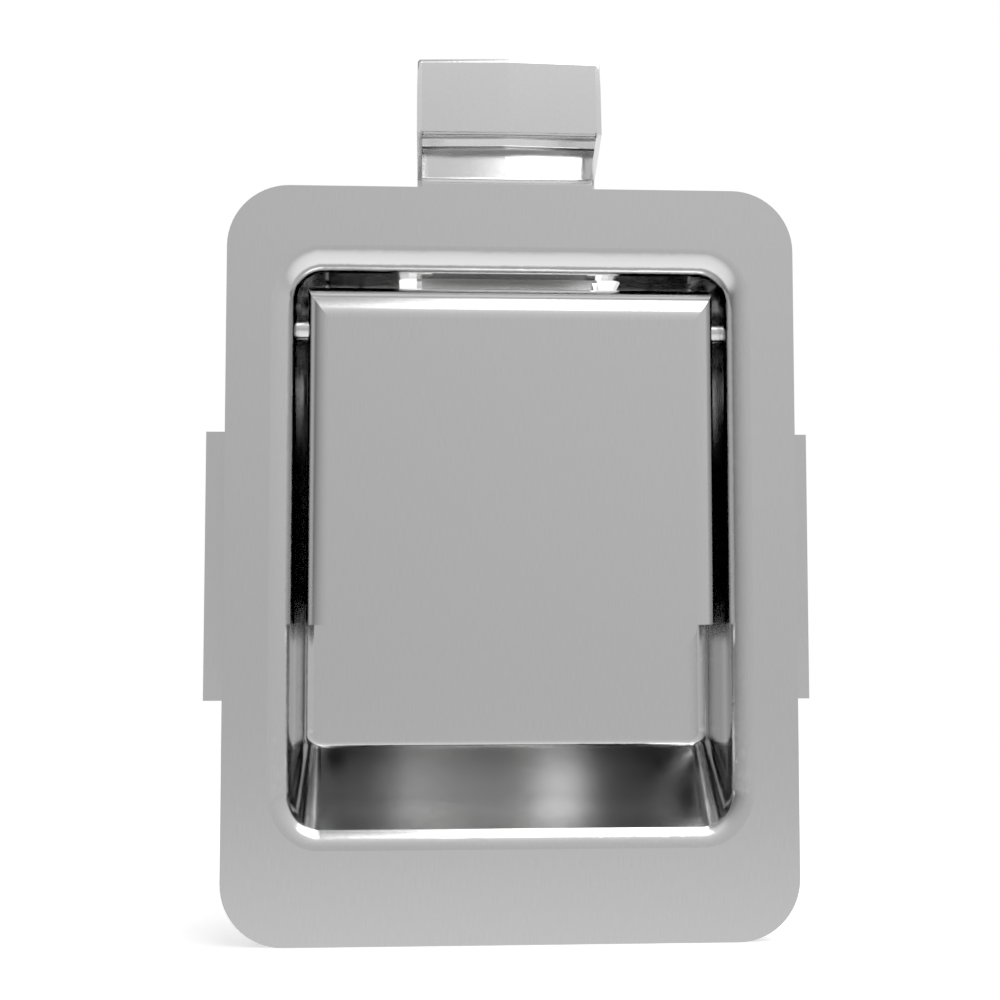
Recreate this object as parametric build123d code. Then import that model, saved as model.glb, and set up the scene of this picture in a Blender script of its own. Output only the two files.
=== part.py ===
"""Flush paddle latch: a pressed stainless pan, a paddle and a hollow folded bolt on one pin.

Millimetres. X runs to the right across the latch, Y runs into the panel, Z is up.
The origin is the centre of the flange's outline, on the front of the panel that the latch is
fitted to, so the flange and its gasket stand in front of Y = 0 and the dish lies behind it.
A "depth" is measured from the front of the flange. Every formed sheet is drawn as an outer form
less an inner form that lies one sheet thickness inside it.
"""
import os
from math import acos, atan2, cos, degrees, hypot, radians, sin, tan

from build123d import *

# ---- Flange, gasket and dish of the pan ----
FLANGE_WIDTH = 106.0
FLANGE_HEIGHT = 139.7
FLANGE_CORNER = 11.5
PAN_SHEET = 1.5
GASKET_SHEET = 1.5
GASKET_INSET = 1.0
MOUTH_WIDTH = 81.2
MOUTH_TOP_BORDER = 15.35
MOUTH_BOTTOM_BORDER = 19.35
MOUTH_CORNER = 5.6
RIM_RADIUS = 4.4
DISH_DEPTH = 19.0
WALL_DRAFT = 3.0
RAMP_RISE = 14.65
FLOOR_CORNER = 3.2
FLOOR_FILLET = 1.8

# ---- Pivot pin, its washers and its retaining ring ----
PIN_DIAMETER = 4.0
PIN_DEPTH = 8.0
PIN_BELOW_MOUTH = 10.45
PIN_HEAD_DIAMETER = 7.0
PIN_HEAD_THICKNESS = 1.0
WASHER_DIAMETER = 8.0
WASHER_SHEET = 0.5
RING_SHEET = 0.7
RING_DIAMETER = 7.4
GROOVE_DEPTH = 0.5
PIN_TAIL = 0.8
PIN_CHAMFER = 0.3
RING_BAND_SHARE = 0.68
RING_LUG_ANGLE = 105.0
RUNNING_CLEARANCE = 0.05

# ---- Paddle ----
PADDLE_SHEET = 1.5
PADDLE_SIDE_GAP = 2.35
PADDLE_TOP_GAP = 2.6
PADDLE_HEIGHT = 67.85
PADDLE_TOP_BEND = 6.8
PADDLE_SIDE_BEND = 4.0
PADDLE_CORNER = 4.0
SIDE_FLANGE_RELIEF = 4.1
SIDE_FLANGE_TOP_DEPTH = 13.0
SIDE_FLANGE_FOOT = 7.0
TONGUE_WIDTH = 30.0
TONGUE_CORNER = 2.0

# ---- Rubber buffers under the paddle's side flanges ----
BUFFER_DIAMETER = 4.5
BUFFER_HEIGHT = 2.0
BUFFER_INSET = 5.5
BUFFER_GAP = 0.3

# ---- Bolt ----
BOLT_SHEET = 1.0
BOLT_WIDTH = 36.1
BOLT_FACE_DEPTH = 9.5
BOLT_REACH = 29.85
BOLT_FACE_HEIGHT = 16.3
BOLT_FACE_LEAN = 8.6
BOLT_CAM_LENGTH = 21.5
BOLT_CAM_ANGLE = 29.0
BOLT_HEEL_HEIGHT = 2.65
BOLT_WEB_ANGLE = 48.2
BOLT_UNDERCUT = 24.5
BOLT_BEND = 1.2
BOLT_SHOULDER_BEND = 1.5
BOLT_EDGE = 0.8
BOLT_RIDGE_TOP = 1.0
BOLT_RIDGE_FOOT = 0.2
ARM_FRONT_DEPTH = 18.3
NECK_FRONT_DEPTH = 22.3
NECK_WIDTH = 3.5
EAR_FRONT_DEPTH = 18.5
EAR_ARM_WIDTH = 5.0
EAR_RADIUS = 5.0
TONGUE_GAP = 0.3
EAR_GAP = 1.5

# ---- The bolt's window in the dish ----
WINDOW_CLEARANCE = 3.35
WINDOW_FRONT_DEPTH = 7.4
WINDOW_HEIGHT = 17.0
WINDOW_CORNER = 2.0

# ---- Springs and the sleeves that they ride on ----
SLEEVE_WALL = 0.45
SLEEVE_GAP = 0.3
PADDLE_WIRE = 1.0
BOLT_WIRE = 1.0
COIL_CLEARANCE = 0.25
COIL_PITCH = 1.25
PADDLE_COIL_LOOPS = 4
BOLT_COIL_LOOPS = 5
PADDLE_COIL_INSET = 1.35
PADDLE_LEG_STANDOUT = 1.3
BOLT_LEG_LENGTH = 14.0
BOLT_HOOK_LENGTH = 3.5
WIRE_REST = 0.1
WIRE_SIDES = 8
WIRE_KNUCKLE = 0.03
SLOT_CLEARANCE = 0.4

# ---- Clamp bracket, weld studs, washers and nuts ----
BRACKET_SHEET = 2.0
BRACKET_HEIGHT = 51.3
BRACKET_WIDTH = 116.4
BRACKET_DROP = 0.8
GRIP_DEPTH = 11.3
BRACKET_BASE_GAP = 4.0
BRACKET_LEG_GAP = 2.4
BRACKET_BEND = 2.0
STUD_DIAMETER = 5.0
STUD_SPACING = 50.0
STUD_TAIL = 4.0
STUD_CHAMFER = 0.5
WELD_FLARE = 0.8
STUD_SLOT_LENGTH = 9.0
STUD_SLOT_WIDTH = 5.5
STUD_WASHER_DIAMETER = 10.0
STUD_WASHER_SHEET = 1.0
NUT_ACROSS_FLATS = 8.0
NUT_HEIGHT = 4.0
NUT_CHAMFER = 0.5

# ---- Places that follow from the sizes above ----
FRONT = -(PAN_SHEET + GASKET_SHEET)
FLANGE_TOP = FLANGE_HEIGHT / 2
MOUTH_TOP = FLANGE_TOP - MOUTH_TOP_BORDER
MOUTH_BOTTOM = -FLANGE_TOP + MOUTH_BOTTOM_BORDER
DRAFT = tan(radians(WALL_DRAFT))
RAMP_SLOPE = RAMP_RISE / DISH_DEPTH
RAMP_ANGLE = atan2(RAMP_RISE, DISH_DEPTH)
PIN_Y = FRONT + PIN_DEPTH
PIN_Z = MOUTH_TOP - PIN_BELOW_MOUTH
PADDLE_WIDTH = MOUTH_WIDTH - 2 * PADDLE_SIDE_GAP
PADDLE_TOP = MOUTH_TOP - PADDLE_TOP_GAP
PADDLE_BOTTOM = PADDLE_TOP - PADDLE_HEIGHT
TONGUE_DEPTH = ARM_FRONT_DEPTH - TONGUE_GAP
SLEEVE_RADIUS = PIN_DIAMETER / 2 + RUNNING_CLEARANCE + SLEEVE_WALL
BRACKET_Z = -BRACKET_DROP
BRACKET_BASE_DEPTH = DISH_DEPTH + PAN_SHEET + BRACKET_BASE_GAP


def depth(distance):
    """Y of a plane at a distance behind the front of the flange."""
    return FRONT + distance


def wall_plane(distance):
    """A sketch plane facing the viewer, whose own axes run along X and Z."""
    return Plane(origin=(0, depth(distance), 0), x_dir=(1, 0, 0), z_dir=(0, -1, 0))


def side_plane(x):
    """A sketch plane across the latch, whose own axes run along Y and Z."""
    return Plane(origin=(x, 0, 0), x_dir=(0, 1, 0), z_dir=(1, 0, 0))


def across(profile_face, width, centre=0.0):
    """A side profile, drawn in Y and Z, made into a solid of a width about a centre in X."""
    return extrude(side_plane(centre) * profile_face, amount=width / 2, both=True)


def block(x_range, depth_range, z_range):
    """A block between two values of X, of depth and of Z."""
    size = (x_range[1] - x_range[0], depth_range[1] - depth_range[0], z_range[1] - z_range[0])
    corner = (x_range[0], depth(depth_range[0]), z_range[0])
    return Pos(*corner) * Box(*size, align=(Align.MIN, Align.MIN, Align.MIN))


def polygon(*points):
    """A closed face through points that are given as (depth, Z)."""
    return make_face(Polyline(*[(depth(d), z) for d, z in points], close=True))


def cross_cylinder(radius, x_start, x_end, y=PIN_Y, z=PIN_Z):
    """A round bar along X."""
    plane = Plane(origin=(x_start, y, z), x_dir=(0, 1, 0), z_dir=(1, 0, 0))
    return extrude(plane * Circle(radius), amount=x_end - x_start)


def cross_tube(outer_radius, inner_radius, x_start, x_end):
    """A sleeve or a washer about the pivot."""
    bore = cross_cylinder(inner_radius, x_start - 1, x_end + 1)
    return cross_cylinder(outer_radius, x_start, x_end) - bore


def faces_at_depth(solid, distance):
    """The flat faces that face the viewer or the panel at one depth."""
    flat = solid.faces().filter_by(Axis.Y)
    return flat.filter_by_position(Axis.Y, depth(distance) - 0.01, depth(distance) + 0.01)


# ---- Pan ----

def dish_section(distance, growth):
    """The dish's rounded outline at a depth, grown outwards by a sheet thickness or not at all."""
    share = distance / DISH_DEPTH
    half_width = MOUTH_WIDTH / 2 - distance * DRAFT + growth / cos(radians(WALL_DRAFT))
    top = MOUTH_TOP - distance * DRAFT + growth / cos(radians(WALL_DRAFT))
    bottom = MOUTH_BOTTOM + distance * RAMP_SLOPE - growth / cos(RAMP_ANGLE)
    corner = MOUTH_CORNER + (FLOOR_CORNER - MOUTH_CORNER) * share + growth
    outline = Pos(0, (top + bottom) / 2) * RectangleRounded(2 * half_width, top - bottom, corner)
    return wall_plane(distance) * outline


def dish_form(growth):
    """The dish from the flange's front to its floor, with the floor's edge rounded."""
    floor_depth = DISH_DEPTH + growth
    sections = [dish_section(0, growth), dish_section(floor_depth, growth)]
    form = loft(sections, ruled=True)
    floor_edges = faces_at_depth(form, floor_depth).edges()
    return fillet(floor_edges, FLOOR_FILLET + growth)


def half_width_at(distance):
    """Half the dish's inner width at a depth."""
    return MOUTH_WIDTH / 2 - distance * DRAFT


def pan():
    """Flange and dish in one sheet, with the bolt's window and the two pin holes."""
    outline = wall_plane(PAN_SHEET) * RectangleRounded(FLANGE_WIDTH, FLANGE_HEIGHT, FLANGE_CORNER)
    plate = extrude(outline, amount=PAN_SHEET)
    body = plate + dish_form(PAN_SHEET) - dish_form(0)
    rim = faces_at_depth(body, 0).sort_by(SortBy.AREA)[-1].inner_wires()[0].edges()
    body = fillet(rim, RIM_RADIUS)
    back_rim = faces_at_depth(body, PAN_SHEET).sort_by(SortBy.AREA)[-1].inner_wires()[0].edges()
    body = fillet(back_rim, RIM_RADIUS - PAN_SHEET)
    body -= bolt_window()
    reach = MOUTH_WIDTH
    body -= cross_cylinder(PIN_DIAMETER / 2 + RUNNING_CLEARANCE, -reach, reach)
    return body


def bolt_window():
    """The opening in the dish's top wall and upper floor that the bolt's arm passes through."""
    half = BOLT_WIDTH / 2 + WINDOW_CLEARANCE
    back = DISH_DEPTH + 2 * PAN_SHEET
    top = MOUTH_TOP + 2 * PAN_SHEET
    cut = block((-half, half), (WINDOW_FRONT_DEPTH, back), (MOUTH_TOP - WINDOW_HEIGHT, top))
    upright = cut.edges().filter_by(Axis.Z).group_by(Axis.Y)[0]
    level = cut.edges().filter_by(Axis.Y).group_by(Axis.Z)[0]
    return fillet(upright + level, WINDOW_CORNER)


# ---- Gasket ----

def gasket():
    """A flat ring between the flange and the panel, clear of the dish's drawn corner."""
    outer = RectangleRounded(
        FLANGE_WIDTH - 2 * GASKET_INSET,
        FLANGE_HEIGHT - 2 * GASKET_INSET,
        FLANGE_CORNER - GASKET_INSET,
    )
    clear = PAN_SHEET + (RIM_RADIUS - PAN_SHEET) + GASKET_INSET
    width = MOUTH_WIDTH + 2 * clear
    top = MOUTH_TOP + clear
    bottom = MOUTH_BOTTOM - clear
    opening = Pos(0, (top + bottom) / 2) * RectangleRounded(width, top - bottom, MOUTH_CORNER + clear)
    return extrude(wall_plane(PAN_SHEET + GASKET_SHEET) * (outer - opening), amount=GASKET_SHEET)


# ---- Paddle ----

def paddle_form(inset, back):
    """The paddle's cupped form: a side section and a plan section that meet in mitred bends."""
    top = PADDLE_TOP - inset
    bottom = PADDLE_BOTTOM - inset
    side_outline = polygon((inset, bottom), (inset, top), (back, top), (back, bottom))
    side_outline = fillet(side_outline.vertices().group_by(Axis.X)[0][-1], PADDLE_TOP_BEND - inset)
    upright = across(side_outline, PADDLE_WIDTH)
    half = PADDLE_WIDTH / 2 - inset
    section = Rectangle(2 * half, back - inset, align=(Align.CENTER, Align.MIN))
    section = fillet(section.vertices().group_by(Axis.Y)[0], PADDLE_SIDE_BEND - inset)
    floor = Plane(origin=(0, depth(inset), bottom))
    level = extrude(floor * section, amount=top - bottom)
    return upright & level


def side_flange_profile():
    """What is kept of the side flanges, seen from the side: deeper towards the foot."""
    foot_depth = DISH_DEPTH - BUFFER_HEIGHT - BUFFER_GAP
    foot = PADDLE_BOTTOM + SIDE_FLANGE_RELIEF
    return polygon(
        (-1, foot),
        (foot_depth, foot),
        (foot_depth, foot + SIDE_FLANGE_FOOT),
        (SIDE_FLANGE_TOP_DEPTH, PIN_Z),
        (SIDE_FLANGE_TOP_DEPTH, PADDLE_TOP + 1),
        (-1, PADDLE_TOP + 1),
    )


def paddle_lip():
    """The flat end of the face below the side flanges, with its rounded corners."""
    half = PADDLE_WIDTH / 2 - PADDLE_SIDE_BEND
    lower_edge = RectangleRounded(2 * half, 2 * SIDE_FLANGE_RELIEF + PADDLE_CORNER, PADDLE_CORNER)
    foot = PADDLE_BOTTOM + SIDE_FLANGE_RELIEF + PADDLE_CORNER / 2
    return extrude(wall_plane(PADDLE_SHEET) * (Pos(0, foot) * lower_edge), amount=PADDLE_SHEET)


def paddle():
    """Face, top flange with its tongue, and two side flanges with the pin holes."""
    shell = paddle_form(0, DISH_DEPTH) - paddle_form(PADDLE_SHEET, DISH_DEPTH + 1)
    shell &= across(side_flange_profile(), PADDLE_WIDTH + 2)
    tongue = block(
        (-TONGUE_WIDTH / 2, TONGUE_WIDTH / 2),
        (PADDLE_TOP_BEND, TONGUE_DEPTH),
        (PADDLE_TOP - PADDLE_SHEET, PADDLE_TOP),
    )
    tongue = fillet(tongue.edges().filter_by(Axis.Z).group_by(Axis.Y)[-1], TONGUE_CORNER)
    shell = shell + tongue + paddle_lip()
    shell -= cross_cylinder(PIN_DIAMETER / 2 + RUNNING_CLEARANCE, -PADDLE_WIDTH, PADDLE_WIDTH)
    ear_middle = (TONGUE_WIDTH + BOLT_WIDTH) / 4 + EAR_GAP / 2
    ear_half = (BOLT_WIDTH - TONGUE_WIDTH) / 4 + EAR_GAP / 2
    leg_half = PADDLE_WIRE / 2 + SLOT_CLEARANCE
    leg_front = PIN_DEPTH + coil_radius(PADDLE_WIRE) - PADDLE_WIRE / 2 - WIRE_REST
    for side in (-1, 1):
        shell -= flange_slot(side * ear_middle, ear_half, PADDLE_TOP_BEND + PADDLE_SHEET / 2)
        shell -= flange_slot(side * outer_leg_x(), leg_half, leg_front)
        shell -= flange_slot(side * inner_leg_x(), leg_half, leg_front)
    return shell


def flange_slot(x, half_width, front_depth):
    """A slot in the paddle's top flange, open at the flange's back edge."""
    below = PADDLE_TOP - PADDLE_SHEET - SLOT_CLEARANCE
    above = PADDLE_TOP + PADDLE_SHEET
    return block((x - half_width, x + half_width), (front_depth, DISH_DEPTH), (below, above))


# ---- Buffers ----

def buffers():
    """Two rubber studs on the dish's floor, one under the foot of each side flange."""
    x = half_width_at(DISH_DEPTH) - FLOOR_FILLET - BUFFER_DIAMETER / 2
    z = PADDLE_BOTTOM + SIDE_FLANGE_RELIEF + BUFFER_INSET
    stud = Circle(BUFFER_DIAMETER / 2)
    pair = Sketch() + [Pos(side * x, z) * stud for side in (-1, 1)]
    return extrude(wall_plane(DISH_DEPTH) * pair, amount=BUFFER_HEIGHT)


# ---- Bolt ----

def head_corners():
    """The corners of the bolt's head in (depth, Z): face foot, crown, heel and the heel's foot."""
    cam = radians(BOLT_CAM_ANGLE)
    top = FLANGE_TOP + BOLT_REACH
    face_foot = (BOLT_FACE_DEPTH, top - BOLT_FACE_HEIGHT)
    crown = (BOLT_FACE_DEPTH + BOLT_FACE_HEIGHT * tan(radians(BOLT_FACE_LEAN)), top)
    heel = (crown[0] + BOLT_CAM_LENGTH * cos(cam), top - BOLT_CAM_LENGTH * sin(cam))
    heel_foot = (heel[0], heel[1] - BOLT_HEEL_HEIGHT)
    return face_foot, crown, heel, heel_foot


def arm_shoulder():
    """Where the back of the sloping web meets the back of the upright arm."""
    heel_foot = head_corners()[3]
    back = ARM_FRONT_DEPTH + BOLT_SHEET
    return back, heel_foot[1] - (heel_foot[0] - back) / tan(radians(BOLT_WEB_ANGLE))


def arm_end():
    """The arm's lower end, just above the hooked leg of the bolt's spring."""
    return PIN_Z + coil_radius(BOLT_WIRE) + BOLT_WIRE / 2 + SLOT_CLEARANCE


def bolt_section(x, foot_ridge, ridge):
    """The strip's section at one X: its head is moved towards the viewer by the ridge there."""
    face_foot, crown, heel, heel_foot = head_corners()
    shoulder = arm_shoulder()
    head = [(d - ridge, z) for d, z in (crown, heel, heel_foot)]
    corners = [(face_foot[0] - foot_ridge, face_foot[1]), *head, shoulder, (shoulder[0], arm_end())]
    bends = [BOLT_BEND, BOLT_BEND, BOLT_BEND, BOLT_SHOULDER_BEND]
    outer_line = FilletPolyline(*[(depth(d), z) for d, z in corners], radius=bends)
    return side_plane(x) * make_face(offset(outer_line, amount=BOLT_SHEET, side=Side.RIGHT))


def bolt_strip():
    """Front plate, cam, heel, sloping web and upright arm, with a slight ridge down the middle."""
    side = BOLT_WIDTH / 2 - BOLT_SHEET
    middle = bolt_section(0, BOLT_RIDGE_FOOT, BOLT_RIDGE_TOP)
    return loft([bolt_section(-side, 0, 0), middle, bolt_section(side, 0, 0)], ruled=True)


def side_plate():
    """One side plate's outline: the head's cheek, an arm behind the web and the ear."""
    face_foot, crown, heel, heel_foot = head_corners()
    undercut = (NECK_FRONT_DEPTH - BOLT_FACE_DEPTH) * tan(radians(BOLT_UNDERCUT))
    neck = face_foot[1] - undercut
    window_level = MOUTH_TOP + PAN_SHEET
    rise = window_level - PIN_Z
    front_tangent = atan2(rise, EAR_FRONT_DEPTH - PIN_DEPTH) + radians(90)
    back_tangent = atan2(rise, EAR_FRONT_DEPTH + EAR_ARM_WIDTH - PIN_DEPTH) - radians(90)
    outline = polygon(
        face_foot,
        crown,
        heel,
        heel_foot,
        (NECK_FRONT_DEPTH + NECK_WIDTH, neck),
        (EAR_FRONT_DEPTH + EAR_ARM_WIDTH, window_level),
        on_ear(back_tangent),
        on_ear(front_tangent),
        (EAR_FRONT_DEPTH, window_level),
        (NECK_FRONT_DEPTH, neck),
    )
    bent = outline.vertices().filter_by(lambda v: v.Y > face_foot[1] + BOLT_SHEET)
    return fillet(bent, BOLT_BEND) + Pos(PIN_Y, PIN_Z) * Circle(EAR_RADIUS)


def on_ear(angle):
    """A point in (depth, Z) on the rim of the ear."""
    return PIN_DEPTH + EAR_RADIUS * cos(angle), PIN_Z + EAR_RADIUS * sin(angle)


def bolt():
    """The strip between two side plates, with its outer edges rounded and the pin holes."""
    plate = side_plate()
    middle = (BOLT_WIDTH - BOLT_SHEET) / 2
    body = bolt_strip() + across(plate, BOLT_SHEET, -middle) + across(plate, BOLT_SHEET, middle)
    above = head_corners()[3][1] + BOLT_BEND / 2
    cheeks = body.edges().filter_by(lambda e: abs(abs(e.center().X) - BOLT_WIDTH / 2) < 0.01)
    body = fillet(cheeks.filter_by(lambda e: e.center().Z > above), BOLT_EDGE)
    return body - cross_cylinder(PIN_DIAMETER / 2 + RUNNING_CLEARANCE, -BOLT_WIDTH, BOLT_WIDTH)


# ---- Springs ----

def coil_radius(wire):
    """The middle radius of a coil that rides on a sleeve."""
    return SLEEVE_RADIUS + COIL_CLEARANCE + wire / 2


def paddle_coil_turn():
    """Degrees of winding between the leg on the paddle and the leg on the dish's floor."""
    return 360 * PADDLE_COIL_LOOPS + 270


def outer_leg_x():
    """How far from the middle the leg that pushes the paddle stands."""
    return PADDLE_WIDTH / 2 - PADDLE_SHEET - PADDLE_COIL_INSET


def inner_leg_x():
    """How far from the middle the leg that rests on the dish's floor stands."""
    return outer_leg_x() - COIL_PITCH * paddle_coil_turn() / 360


def around_pin(wire, angle):
    """A point in (depth, Z) on a coil's middle line; angles run from the front upwards."""
    radius = coil_radius(wire)
    return PIN_DEPTH - radius * cos(radians(angle)), PIN_Z + radius * sin(radians(angle))


def wound(wire, x_start, angle, turn, lefthand):
    """A coil about the pivot that runs towards -X from a start angle."""
    spiral = Helix(COIL_PITCH, COIL_PITCH * turn / 360, coil_radius(wire), lefthand=lefthand)
    section = Plane(origin=spiral @ 0, z_dir=spiral % 0) * RegularPolygon(wire / 2, WIRE_SIDES)
    coil = sweep(section, path=spiral, is_frenet=True)
    start = (0, -cos(radians(angle)), sin(radians(angle)))
    return Plane(origin=(x_start, PIN_Y, PIN_Z), x_dir=start, z_dir=(-1, 0, 0)) * coil


def wire_run(wire, x, *points):
    """Straight wire through points in (depth, Z) at one X, with a slight knuckle at each corner."""
    places = [Vector(x, depth(d), z) for d, z in points]
    run = Pos(places[-1]) * Sphere(wire / 2)
    for start, end in zip(places, places[1:]):
        line = end - start
        run += extrude(Plane(origin=start, z_dir=line) * Circle(wire / 2), amount=line.length)
    for corner in places[:-1]:
        run += Pos(corner) * Sphere(wire / 2 + WIRE_KNUCKLE)
    return run


def paddle_spring():
    """The right-hand return spring: one leg through the paddle's top flange, one on the floor."""
    wire = PADDLE_WIRE
    coil = wound(wire, outer_leg_x(), 180, paddle_coil_turn(), lefthand=False)
    back_depth, level = around_pin(wire, 180)
    push_tip = (back_depth, PADDLE_TOP + PADDLE_LEG_STANDOUT)
    push = wire_run(wire, outer_leg_x(), (back_depth, level), push_tip)
    top_depth, top = around_pin(wire, 90)
    floor = DISH_DEPTH - wire / 2 - WIRE_REST
    rest = wire_run(wire, inner_leg_x(), (top_depth, top), (floor, top))
    return coil + push + rest


def bolt_spring():
    """The middle spring: a hook behind the bolt's arm and a leg on the inside of the paddle."""
    wire = BOLT_WIRE
    radius = coil_radius(wire)
    reach = PIN_DEPTH - PADDLE_SHEET - wire / 2 - WIRE_REST
    leave = degrees(atan2(BOLT_LEG_LENGTH, radius) - acos(reach / hypot(radius, BOLT_LEG_LENGTH)))
    turn = 360 * BOLT_COIL_LOOPS + 90 - leave
    x_start = COIL_PITCH * turn / 720
    coil = wound(wire, x_start, 90, turn, lefthand=True)
    top_depth, top = around_pin(wire, 90)
    knee = ARM_FRONT_DEPTH + BOLT_SHEET + wire / 2 + WIRE_REST
    hook = wire_run(wire, x_start, (top_depth, top), (knee, top), (knee, top + BOLT_HOOK_LENGTH))
    leg_depth, leg_z = around_pin(wire, leave)
    tip = (PADDLE_SHEET + wire / 2 + WIRE_REST, leg_z - BOLT_LEG_LENGTH * cos(radians(leave)))
    return coil + hook + wire_run(wire, -x_start, (leg_depth, leg_z), tip)


# ---- Pivot pin, sleeves, washers and retaining ring ----

def pin_seat():
    """How far from the middle the washers lie, outside the drafted side walls of the dish."""
    wall = half_width_at(PIN_DEPTH) + PAN_SHEET / cos(radians(WALL_DRAFT))
    return wall + WASHER_DIAMETER / 2 * DRAFT


def pivot_pin():
    """A headed pin through the dish, with a groove for the ring near its plain end."""
    head = pin_seat() + WASHER_SHEET
    groove = cross_tube(
        PIN_DIAMETER, PIN_DIAMETER / 2 - GROOVE_DEPTH, head, head + RING_SHEET + RUNNING_CLEARANCE
    )
    end = head + RING_SHEET + RUNNING_CLEARANCE + PIN_TAIL
    shank = chamfer(cross_cylinder(PIN_DIAMETER / 2, -head, end).edges().sort_by(Axis.X)[-1], PIN_CHAMFER)
    cap = cross_cylinder(PIN_HEAD_DIAMETER / 2, -head - PIN_HEAD_THICKNESS, -head)
    cap = fillet(cap.edges().sort_by(Axis.X)[0], PIN_HEAD_THICKNESS / 2)
    return shank - groove + cap


def pin_washers():
    """A washer under the pin's head and one under its ring."""
    seat = pin_seat()
    radii = (WASHER_DIAMETER / 2, PIN_DIAMETER / 2 + RUNNING_CLEARANCE)
    left = cross_tube(*radii, -seat - WASHER_SHEET, -seat)
    return Compound(children=[left, cross_tube(*radii, seat, seat + WASHER_SHEET)])


def retaining_ring():
    """An E-shaped ring pushed into the pin's groove from below."""
    outer = RING_DIAMETER / 2
    grip = PIN_DIAMETER / 2 - GROOVE_DEPTH + RUNNING_CLEARANCE
    band = Circle(outer) - Circle(outer * RING_BAND_SHARE)
    lug = Pos(0, outer / 2) * Rectangle(grip, outer)
    lugs = [Rot(0, 0, angle) * lug for angle in (0, RING_LUG_ANGLE, -RING_LUG_ANGLE)]
    mouth = Pos(0, -outer) * Rectangle(2 * grip, 2 * outer)
    shape = (band + lugs) & Circle(outer)
    shape = shape - Circle(grip) - mouth
    x = pin_seat() + WASHER_SHEET
    plane = Plane(origin=(x, PIN_Y, PIN_Z), x_dir=(0, 1, 0), z_dir=(1, 0, 0))
    return extrude(plane * shape, amount=RING_SHEET)


def sleeve(x_start, x_end):
    """A sleeve on the pin, which carries a coil and keeps its neighbours apart."""
    return cross_tube(SLEEVE_RADIUS, PIN_DIAMETER / 2 + RUNNING_CLEARANCE, x_start, x_end)


def side_sleeve():
    """The right-hand sleeve, between the bolt's ear and the paddle's side flange."""
    return sleeve(BOLT_WIDTH / 2 + SLEEVE_GAP, PADDLE_WIDTH / 2 - PADDLE_SHEET - SLEEVE_GAP)


def middle_sleeve():
    """The sleeve between the bolt's ears."""
    end = BOLT_WIDTH / 2 - BOLT_SHEET - SLEEVE_GAP
    return sleeve(-end, end)


# ---- Clamp bracket and its fasteners ----

def leg_x():
    """Half the bracket's inner width between its legs."""
    return MOUTH_WIDTH / 2 + PAN_SHEET + BRACKET_LEG_GAP


def clamp_bracket():
    """A hat-shaped strap: a base behind the dish, two legs and two feet that meet the panel."""
    end = BRACKET_WIDTH / 2
    leg = leg_x()
    foot, base = depth(GRIP_DEPTH), depth(BRACKET_BASE_DEPTH)
    places = [(-end, foot), (-leg, foot), (-leg, base), (leg, base), (leg, foot), (end, foot)]
    bends = [BRACKET_BEND + BRACKET_SHEET, BRACKET_BEND, BRACKET_BEND, BRACKET_BEND + BRACKET_SHEET]
    line = FilletPolyline(*places, radius=bends)
    section = make_face(offset(line, amount=BRACKET_SHEET, side=Side.LEFT))
    strap = extrude(Plane.XY.offset(BRACKET_Z) * section, amount=BRACKET_HEIGHT / 2, both=True)
    slots = stud_pattern(SlotOverall(STUD_SLOT_LENGTH, STUD_SLOT_WIDTH))
    cut = extrude(wall_plane(BRACKET_BASE_DEPTH + 2 * BRACKET_SHEET) * slots, amount=3 * BRACKET_SHEET)
    return strap - cut


def stud_pattern(shape):
    """A flat shape repeated at both weld studs."""
    return Sketch() + [Pos(x, BRACKET_Z) * shape for x in (-STUD_SPACING / 2, STUD_SPACING / 2)]


def stack_slice(shape, near, far):
    """A flat shape at both studs, from one depth to another."""
    return extrude(wall_plane(far) * stud_pattern(shape), amount=far - near)


def nut_seat():
    """The depth of the face that the nuts bear on."""
    return BRACKET_BASE_DEPTH + BRACKET_SHEET + STUD_WASHER_SHEET


def weld_studs():
    """Two threaded studs welded to the back of the dish's floor."""
    root = DISH_DEPTH + PAN_SHEET
    end = nut_seat() + NUT_HEIGHT + STUD_TAIL
    studs = stack_slice(Circle(STUD_DIAMETER / 2), root, end)
    studs = chamfer(faces_at_depth(studs, end).edges(), STUD_CHAMFER)
    return studs + stack_slice(Circle(STUD_DIAMETER / 2 + WELD_FLARE), root, root + WELD_FLARE)


def stud_washers():
    """A washer on each stud, behind the bracket."""
    ring = Circle(STUD_WASHER_DIAMETER / 2) - Circle(STUD_DIAMETER / 2 + 2 * RUNNING_CLEARANCE)
    return stack_slice(ring, nut_seat() - STUD_WASHER_SHEET, nut_seat())


def stud_nuts():
    """A hexagon nut on each stud, with its corners turned down."""
    hexagon = RegularPolygon(NUT_ACROSS_FLATS / 2, 6, major_radius=False)
    bore = Circle(STUD_DIAMETER / 2 + RUNNING_CLEARANCE)
    blank = stack_slice(hexagon - bore, nut_seat(), nut_seat() + NUT_HEIGHT)
    corner = NUT_ACROSS_FLATS / 2 / cos(radians(30))
    turned = stack_slice(Circle(corner), nut_seat(), nut_seat() + NUT_HEIGHT)
    ends = faces_at_depth(turned, nut_seat() + NUT_HEIGHT).edges()
    return blank & chamfer(ends, NUT_CHAMFER)


def right_and_left(name, piece):
    """A piece on the right and its mirror image on the left."""
    return {name + "_right": piece, name + "_left": mirror(piece, about=Plane.YZ)}


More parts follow.
